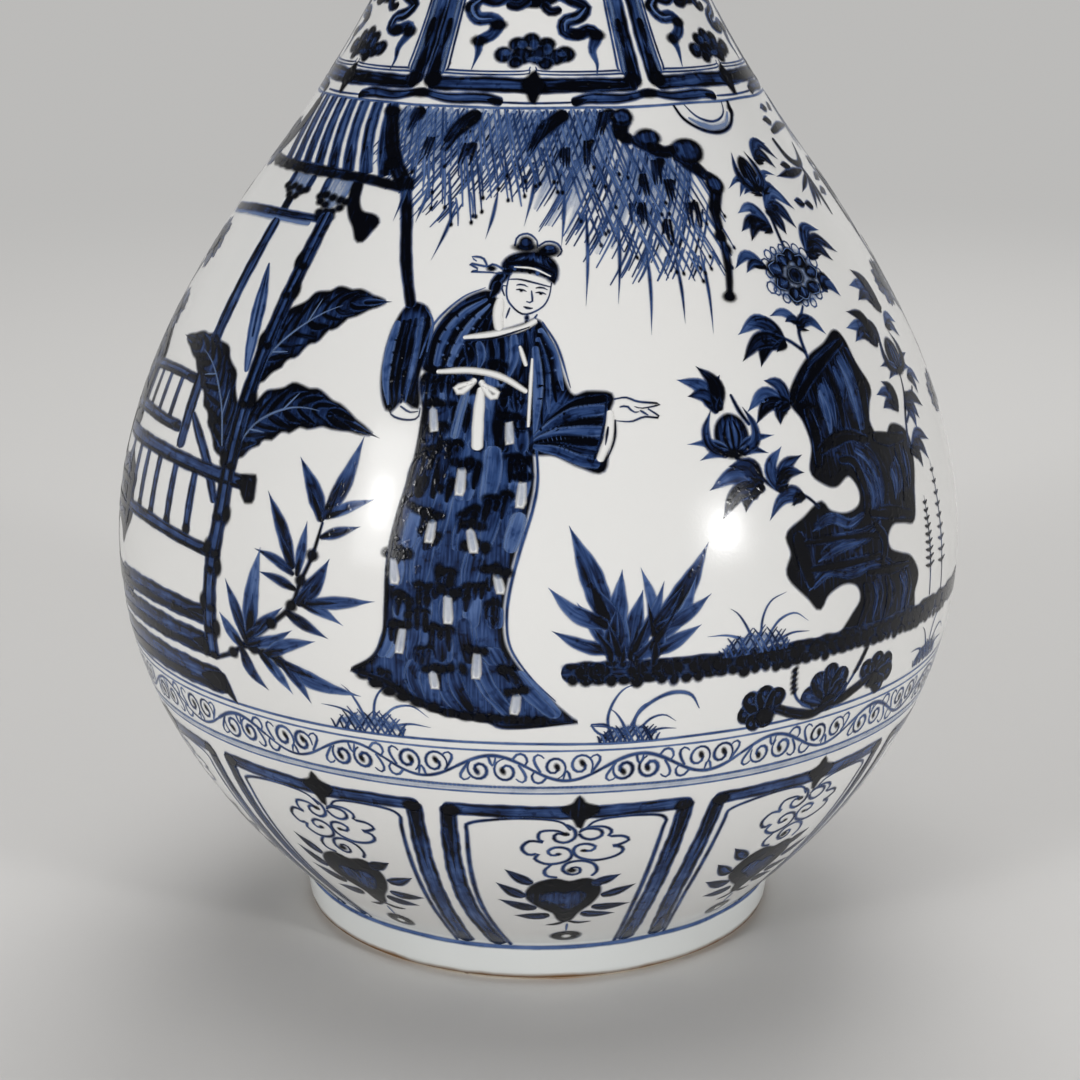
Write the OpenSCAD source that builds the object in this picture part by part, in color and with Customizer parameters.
// Yuhuchunping vase: a pear-shaped porcelain bottle on a low foot ring, with a slim neck and a flared mouth.
// It is thrown in three sections and a foot, which are luted with slip, and is glazed inside and out.
// One outer skin line is turned about the upright axis, and every layer follows that line inwards.

/* [Body] */
// Radius of the belly at its widest, over the glaze
belly_r = 80; // [74:1:92]
// Height of the widest part above the table
belly_z = 74; // [66:1:84]
// Radius of the shoulder where the neck section is luted on
shoulder_r = 44; // [38:1:52]
// Height of that shoulder
shoulder_z = 153; // [144:1:164]
// Radius of the neck at its slimmest
neck_r = 19; // [16:0.5:24]
// Height of the slimmest place
neck_z = 230; // [220:1:240]
// Radius of the mouth over its rounded lip
mouth_r = 42; // [36:1:50]
// Height of the whole vase
height = 300; // [280:1:325]

/* [Curves] */
// Rise of the wall above the horizontal where it leaves the foot, in degrees
base_lean = 45; // [38:1:54]
// Pull of the wall along that rise
base_reach = 18; // [10:1:24]
// Pull of the belly below its widest place
belly_reach_low = 31; // [24:1:36]
// Pull of the belly above its widest place
belly_reach_high = 36; // [28:1:44]
// Slope of the shoulder above the horizontal, in degrees
shoulder_lean = 55; // [50:1:60]
// Pull of the shoulder downwards
shoulder_reach_low = 14; // [8:1:20]
// Pull of the shoulder upwards
shoulder_reach_high = 40; // [30:1:44]
// Pull of the neck below its slimmest place
neck_reach_low = 30; // [20:1:36]
// Pull of the neck above its slimmest place
neck_reach_high = 28; // [20:1:36]
// Rise of the wall above the horizontal at the lip, in degrees
mouth_lean = 45; // [36:1:56]
// Pull of the mouth below the lip
mouth_reach = 20; // [12:1:26]

/* [Foot] */
// Radius of the foot where the body meets it, over the glaze
foot_r = 46.5; // [43:0.5:52]
// How much the foot narrows towards the table
foot_taper = 1; // [0.4:0.2:2]
// Height of the foot ring
foot_h = 7.5; // [6:0.5:11]
// Width of the foot ring near the table, over the glaze
foot_w = 6; // [5:0.5:9]
// Height of the bevel cut round the bottom of the foot ring
foot_bevel = 1; // [0.6:0.2:1.8]

/* [Walls] */
// Wall of the body just above the foot
wall_base = 6; // [5:0.5:7]
// Wall of the body at the belly
wall_belly = 4; // [3:0.5:5]
// Wall at the shoulder and the neck
wall_neck = 3.4; // [2.8:0.2:4.4]
// Wall at the lip
wall_lip = 2.8; // [2.2:0.2:3.6]
// Thickness of the floor at its middle
floor_t = 7; // [5:0.5:9]

/* [Joints and glaze] */
// Thickness of the glaze
glaze_t = 0.4; // [0.2:0.1:0.6]
// Thickness of the slip in a luted joint
slip_t = 0.6; // [0.4:0.1:1]
// Height of the slip ridge squeezed out inside a joint
ridge_h = 0.8; // [0.4:0.1:1.4]
// Width of that ridge
ridge_w = 6; // [4:0.5:9]

/* [Hidden] */
$fn = 96;

// Points along each curve, round half of the lip and across the floor
curve_steps = 14;
lip_steps = 4;
floor_steps = 8;
// Point of the lower curve where the inside turns from the wall into the floor
floor_stop = 6;
// Pull of the inside wall into the floor, and the share of the floor that is nearly flat
floor_reach = 12;
floor_flat = 0.55;
// Height of the ridge a quarter of its width from its middle, as a share of the full height
ridge_shoulder = 0.6;

function bezier(curve, t) =
    pow(1 - t, 3) * curve[0] + 3 * t * pow(1 - t, 2) * curve[1]
    + 3 * t * t * (1 - t) * curve[2] + t * t * t * curve[3];
function heading(angle) = [cos(angle), sin(angle)];
function mix(from, to, share) = from + (to - from) * share;
function slice(list, first, last) = [for (i = [first:last]) list[i]];
function reversed(list, first, last) = [for (i = [last:-1:first]) list[i]];

// The outer skin in four curves, from the foot to the lip
lip_half = wall_lip / 2 + glaze_t;
base_point = [foot_r, foot_h + slip_t];
belly_point = [belly_r, belly_z];
shoulder_point = [shoulder_r, shoulder_z];
neck_point = [neck_r, neck_z];
lip_point = [
    mouth_r - lip_half * (1 - sin(mouth_lean)),
    height - lip_half * (1 + cos(mouth_lean))
];
shoulder_heading = heading(180 - shoulder_lean);
low_curve = [
    base_point,
    base_point + base_reach * heading(base_lean),
    belly_point - [0, belly_reach_low],
    belly_point
];
high_curve = [
    belly_point,
    belly_point + [0, belly_reach_high],
    shoulder_point - shoulder_reach_low * shoulder_heading,
    shoulder_point
];
neck_curve = [
    shoulder_point,
    shoulder_point + shoulder_reach_high * shoulder_heading,
    neck_point - [0, neck_reach_low],
    neck_point
];
mouth_curve = [
    neck_point,
    neck_point + [0, neck_reach_high],
    lip_point - mouth_reach * heading(mouth_lean),
    lip_point
];

// Places along a curve: it stops half a slip layer short of a luted joint, and is finer under the ridge
function places(curve, joint_before, joint_after) =
    let(rate_before = 3 * norm(curve[1] - curve[0]),
        rate_after = 3 * norm(curve[3] - curve[2]),
        first = joint_before ? slip_t / 2 / rate_before : 0,
        last = joint_after ? 1 - slip_t / 2 / rate_after : 1,
        ridge_before = ridge_w / 2 / rate_before,
        ridge_after = ridge_w / 2 / rate_after)
    concat(
        [first, first + ridge_before / 2],
        [for (i = [0:curve_steps]) mix(first + ridge_before, last - ridge_after, i / curve_steps)],
        [last - ridge_after / 2, last]
    );
function points(curve, at) = [for (t = at) bezier(curve, t)];
function walls(from, to, at) = [for (t = at) mix(from, to, t)];
function ridges(joint_before, joint_after) =
    concat(
        joint_before ? [ridge_h, ridge_h * ridge_shoulder] : [0, 0],
        [for (i = [0:curve_steps]) 0],
        joint_after ? [ridge_h * ridge_shoulder, ridge_h] : [0, 0]
    );

low_places = places(low_curve, false, true);
high_places = places(high_curve, true, true);
neck_places = places(neck_curve, true, false);
mouth_all = places(mouth_curve, false, false);
mouth_places = slice(mouth_all, 1, len(mouth_all) - 1);

skin = concat(
    [[foot_r - foot_taper, foot_bevel], [foot_r, foot_h]],
    points(low_curve, low_places), points(high_curve, high_places),
    points(neck_curve, neck_places), points(mouth_curve, mouth_places)
);
wall = concat(
    [wall_base, wall_base],
    walls(wall_base, wall_belly, low_places), walls(wall_belly, wall_neck, high_places),
    walls(wall_neck, wall_neck, neck_places), walls(wall_neck, wall_lip, mouth_places)
);
ridge = concat(
    [0, 0], ridges(false, true), ridges(true, true), ridges(true, false),
    [for (t = mouth_places) 0]
);

// First and last point of each thrown section along the skin
low_first = 2;
low_last = low_first + len(low_places) - 1;
high_first = low_last + 1;
high_last = high_first + len(high_places) - 1;
neck_first = high_last + 1;
neck_last = len(skin) - 1;
floor_first = low_first + floor_stop;

// Direction square to a line at one of its points, lengthened so that a moved line keeps its distance
function square_to(from, to) =
    let(along = (to - from) / norm(to - from)) [along.y, -along.x];
function outward(line, i) =
    let(last = len(line) - 1,
        before = square_to(line[max(i - 1, 0)], line[max(i, 1)]),
        after = square_to(line[min(i, last - 1)], line[min(i + 1, last)]))
    (before + after) / (1 + before * after);
function moved_in(line, depth) = [for (i = [0:len(line) - 1]) line[i] - depth[i] * outward(line, i)];

// Layers from the outside in: clay under the glaze, inside of the clay, and inside of the slip ridges
all_points = [0:len(skin) - 1];
clay = moved_in(skin, [for (i = all_points) glaze_t]);
bore = moved_in(skin, [for (i = all_points) glaze_t + wall[i]]);
crest = moved_in(skin, [for (i = all_points) glaze_t + wall[i] + ridge[i]]);

// The rounded lip, from its outer side at 0 degrees over its top at 90 to its inner side at 180
lip_out = outward(skin, neck_last);
lip_up = [-lip_out.y, lip_out.x];
lip_centre = skin[neck_last] - lip_half * lip_out;
function lip_at(radius, angle) = lip_centre + radius * (cos(angle) * lip_out + sin(angle) * lip_up);
function lip_arc(radius, from, to, steps) =
    [for (i = steps) lip_at(radius, mix(from, to, i / lip_steps))];

// The floor, its underside and the inside line from the lip down to the axis
base_z = clay[low_first].y;
floor_z = base_z + floor_t;
floor_start = bore[floor_first];
floor_heading = (floor_start - bore[floor_first + 1]) / norm(floor_start - bore[floor_first + 1]);
floor_curve = [
    floor_start,
    floor_start + floor_reach * floor_heading,
    [floor_start.x * floor_flat, floor_z],
    [0, floor_z]
];
floor_line = [for (i = [1:floor_steps]) bezier(floor_curve, i / floor_steps)];
inside = concat(reversed(crest, floor_first, neck_last), floor_line);
lining = [for (i = [0:len(inside) - 2]) inside[i] + glaze_t * outward(inside, i)];

// The ring foot and the recess inside it
foot_in = foot_r - foot_taper - foot_w;
foot_top = clay[1].y;

module turned(outline) {
    rotate_extrude()
        polygon(outline);
}

// A luted joint: slip through the wall, with a low ridge on the inside that laps both sections
module luting(below, above) {
    turned(concat(
        [clay[below], clay[above]],
        slice(bore, above, above + 2),
        reversed(crest, above, above + 1),
        reversed(crest, below - 1, below),
        slice(bore, below - 2, below)
    ));
}

module foot_ring() {
    color("burlywood")
        turned([
            [foot_in + foot_bevel, 0], [clay[0].x - foot_bevel, 0], clay[0], clay[1],
            [foot_in, foot_top], [foot_in, foot_bevel]
        ]);
}

module foot_luting() {
    color("tan")
        turned([[foot_in, foot_top], clay[1], clay[low_first], [foot_in, base_z]]);
}

module lower_body() {
    color("linen")
        turned(concat(
            slice(clay, low_first, low_last),
            reversed(bore, floor_first, low_last),
            floor_line,
            [[0, base_z]]
        ));
}

module belly_luting() {
    color("tan")
        luting(low_last, high_first);
}

module upper_body() {
    color("linen")
        turned(concat(
            slice(clay, high_first, high_last),
            reversed(bore, high_first, high_last)
        ));
}

module shoulder_luting() {
    color("tan")
        luting(high_last, neck_first);
}

module neck_section() {
    color("linen")
        turned(concat(
            slice(clay, neck_first, neck_last),
            lip_arc(wall_lip / 2, 0, 90, [1:lip_steps]),
            lip_arc(wall_lip / 2, 90, 180, [1:lip_steps - 1]),
            reversed(bore, neck_first, neck_last)
        ));
}

module outer_glaze() {
    color("aliceblue")
        turned(concat(
            skin,
            lip_arc(lip_half, 0, 90, [1:lip_steps]),
            lip_arc(wall_lip / 2, 90, 0, [0:lip_steps - 1]),
            reversed(clay, 0, neck_last)
        ));
}

module inner_glaze() {
    color("ghostwhite")
        turned(concat(
            lip_arc(lip_half, 90, 180, [0:lip_steps]),
            slice(lining, 1, len(lining) - 1),
            [[0, floor_z + glaze_t]],
            reversed(inside, 0, len(inside) - 1),
            lip_arc(wall_lip / 2, 180, 90, [1:lip_steps])
        ));
}

module base_glaze() {
    color("ghostwhite")
        turned([
            [0, base_z], [foot_in, base_z], [foot_in, 2 * foot_bevel],
            [foot_in - glaze_t, 2 * foot_bevel], [foot_in - glaze_t, base_z - glaze_t],
            [0, base_z - glaze_t]
        ]);
}

foot_ring();
foot_luting();
lower_body();
belly_luting();
upper_body();
shoulder_luting();
neck_section();
outer_glaze();
inner_glaze();
base_glaze();
